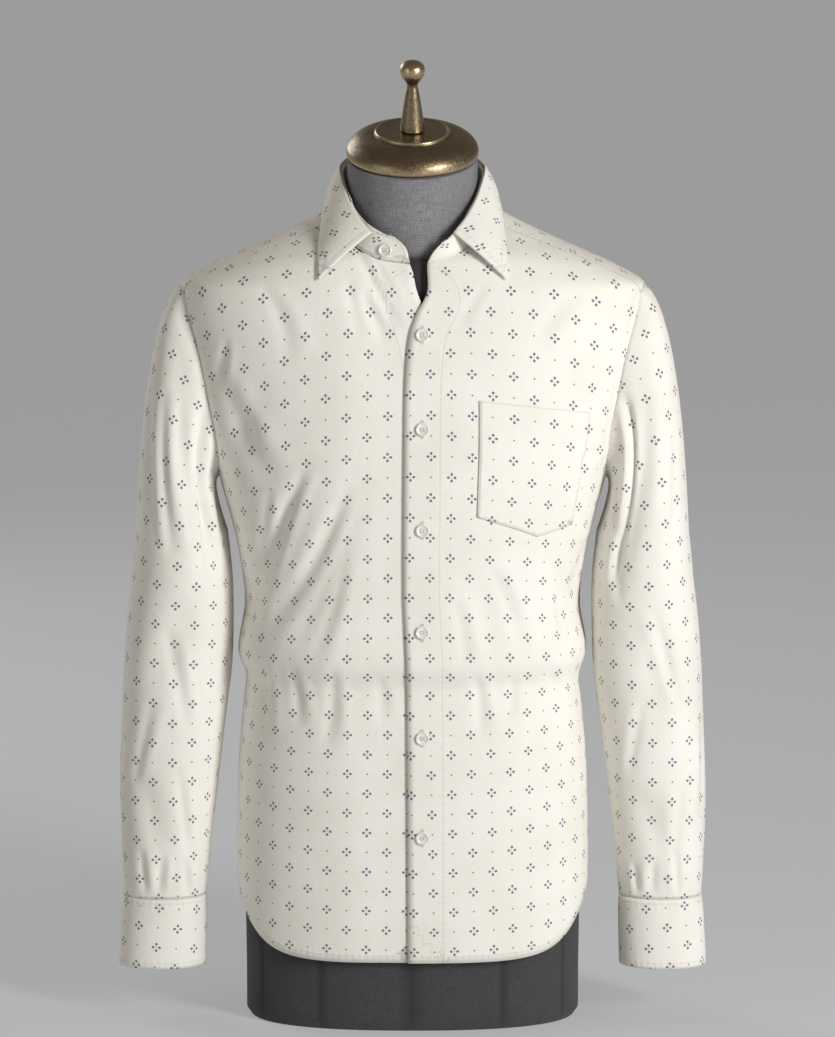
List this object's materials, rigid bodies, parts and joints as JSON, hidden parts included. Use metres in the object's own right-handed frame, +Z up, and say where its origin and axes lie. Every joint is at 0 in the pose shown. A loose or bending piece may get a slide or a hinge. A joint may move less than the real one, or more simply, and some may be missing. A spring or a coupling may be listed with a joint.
{
  "type": "long-sleeved shirt on a limbless dress form",
  "caption": "Button-front long-sleeved shirt with turned-down collar, chest pocket, yoke and cuffs, worn open-necked by a limbless dress form with a domed neck cap and finial.",
  "frame": {"origin": "centre of the dress form's flat underside, on the surface it stands on", "axes": "+Z up, front towards -Y, the wearer's left (pocket side) towards +X"},
  "size_m": [0.5926, 0.2482, 0.9594],
  "materials": {
    "printed_cloth": "plain-woven cotton, cream with a small slate-blue print",
    "pearl_button": "polished pearly white",
    "form_cloth": "stretched dark grey cloth",
    "antique_bronze": "aged bronze with brighter wear on its edges"
  },
  "bodies": {
    "root": {"front_left": "printed_cloth", "front_right": "printed_cloth", "back": "printed_cloth", "yoke": "printed_cloth", "sleeve_left": "printed_cloth", "sleeve_right": "printed_cloth", "cuff_left": "printed_cloth", "cuff_right": "printed_cloth", "collar_stand": "printed_cloth", "collar_leaf": "printed_cloth", "chest_pocket": "printed_cloth", "button_stand": "pearl_button", "button_front_1": "pearl_button", "button_front_2": "pearl_button", "button_front_3": "pearl_button", "button_front_4": "pearl_button", "button_front_5": "pearl_button", "button_front_6": "pearl_button", "button_cuff_left": "pearl_button", "button_cuff_right": "pearl_button", "form_body": "form_cloth", "neck_cap": "antique_bronze", "finial": "antique_bronze"}
  },
  "joints": []
}
